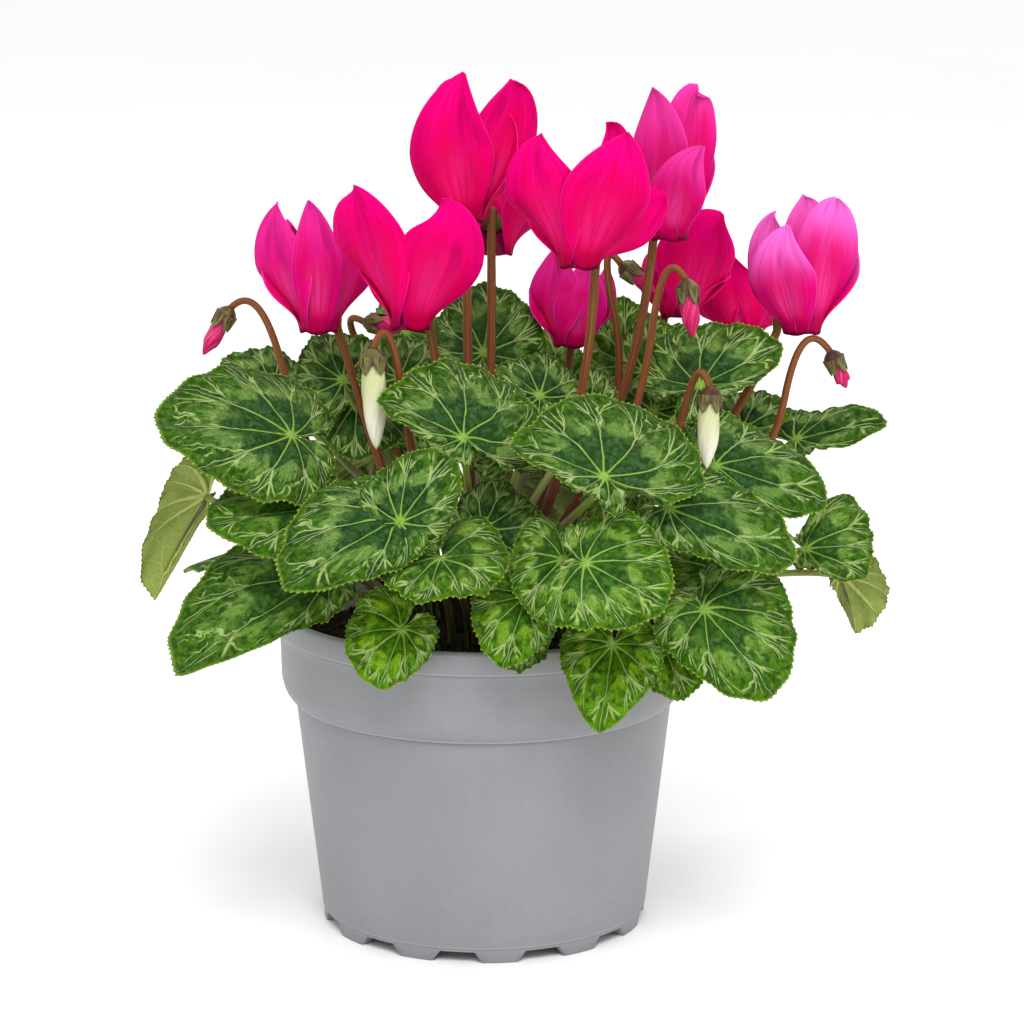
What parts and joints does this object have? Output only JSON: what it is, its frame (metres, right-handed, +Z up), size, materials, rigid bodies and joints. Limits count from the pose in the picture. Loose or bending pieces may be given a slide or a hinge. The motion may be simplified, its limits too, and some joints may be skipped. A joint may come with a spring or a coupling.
{
  "type": "potted cyclamen",
  "caption": "Potted cyclamen: grey nursery pot with a stepped collar, toothed heart-shaped patterned leaves, pink and magenta blooms on brown stems, and hooked buds.",
  "frame": {"origin": "centre of the pot's underside, on the plane that the pot stands on", "axes": "+Z up along the pot's axis, -Y towards the front of the plant as seen in the picture, +X to the viewer's right"},
  "size_m": [0.2195, 0.1934, 0.2508],
  "materials": {
    "pot_grey": "matte grey moulded plastic, slightly bluish",
    "soil_dark": "dark peat potting soil, rough and lumpy",
    "leaf_green": "dark green leaf with grey-green marbling and pale veins, pale olive underside",
    "petal_red_pink": "satin red-pink petals, dark crimson at the mouth",
    "petal_magenta": "satin magenta-pink petals, dark crimson at the mouth",
    "petal_white": "satin creamy white closed petals",
    "stem_brown": "smooth brown-red stalks, greenish towards the soil"
  },
  "bodies": {
    "root": {"pot": "pot_grey", "soil": "soil_dark", "leaf_left_top": "leaf_green", "leaf_left_middle": "leaf_green", "leaves_front_left": "leaf_green", "leaf_left_low": "leaf_green", "leaf_far_left": "leaf_green", "leaves_back_left_top": "leaf_green", "leaf_top_back": "leaf_green", "leaf_front_top_left": "leaf_green", "leaf_front_middle_left": "leaf_green", "leaf_front_round": "leaf_green", "leaves_front_low": "leaf_green", "leaves_front_centre": "leaf_green", "leaf_front_top_wide": "leaf_green", "leaf_right_middle": "leaf_green", "leaf_right_upper": "leaf_green", "leaf_right_low": "leaf_green", "leaves_front_hanging": "leaf_green", "leaves_far_right_low": "leaf_green", "leaf_far_right": "leaf_green", "leaves_right_top": "leaf_green", "leaves_top_middle": "leaf_green", "leaves_right_back": "leaf_green", "leaves_back_left": "leaf_green", "leaves_back_right": "leaf_green", "bloom_1": "petal_magenta", "bloom_stem_1": "stem_brown", "bloom_2": "petal_red_pink", "bloom_stem_2": "stem_brown", "bloom_3": "petal_red_pink", "bloom_stem_3": "stem_brown", "bloom_4": "petal_red_pink", "bloom_stem_4": "stem_brown", "bloom_5": "petal_red_pink", "bloom_stem_5": "stem_brown", "bloom_6": "petal_magenta", "bloom_stem_6": "stem_brown", "bloom_7": "petal_magenta", "bloom_stem_7": "stem_brown", "bloom_8": "petal_red_pink", "bloom_stem_8": "stem_brown", "bloom_9": "petal_red_pink", "bloom_stem_9": "stem_brown", "bloom_10": "petal_magenta", "bloom_stem_10": "stem_brown", "bud_1": "petal_red_pink", "bud_stem_1": "stem_brown", "bud_2": "petal_white", "bud_stem_2": "stem_brown", "bud_3": "petal_magenta", "bud_stem_3": "stem_brown", "bud_4": "petal_magenta", "bud_stem_4": "stem_brown", "bud_5": "petal_white", "bud_stem_5": "stem_brown", "bud_6": "petal_red_pink", "bud_stem_6": "stem_brown", "bud_7": "petal_magenta", "bud_stem_7": "stem_brown"}
  },
  "joints": []
}
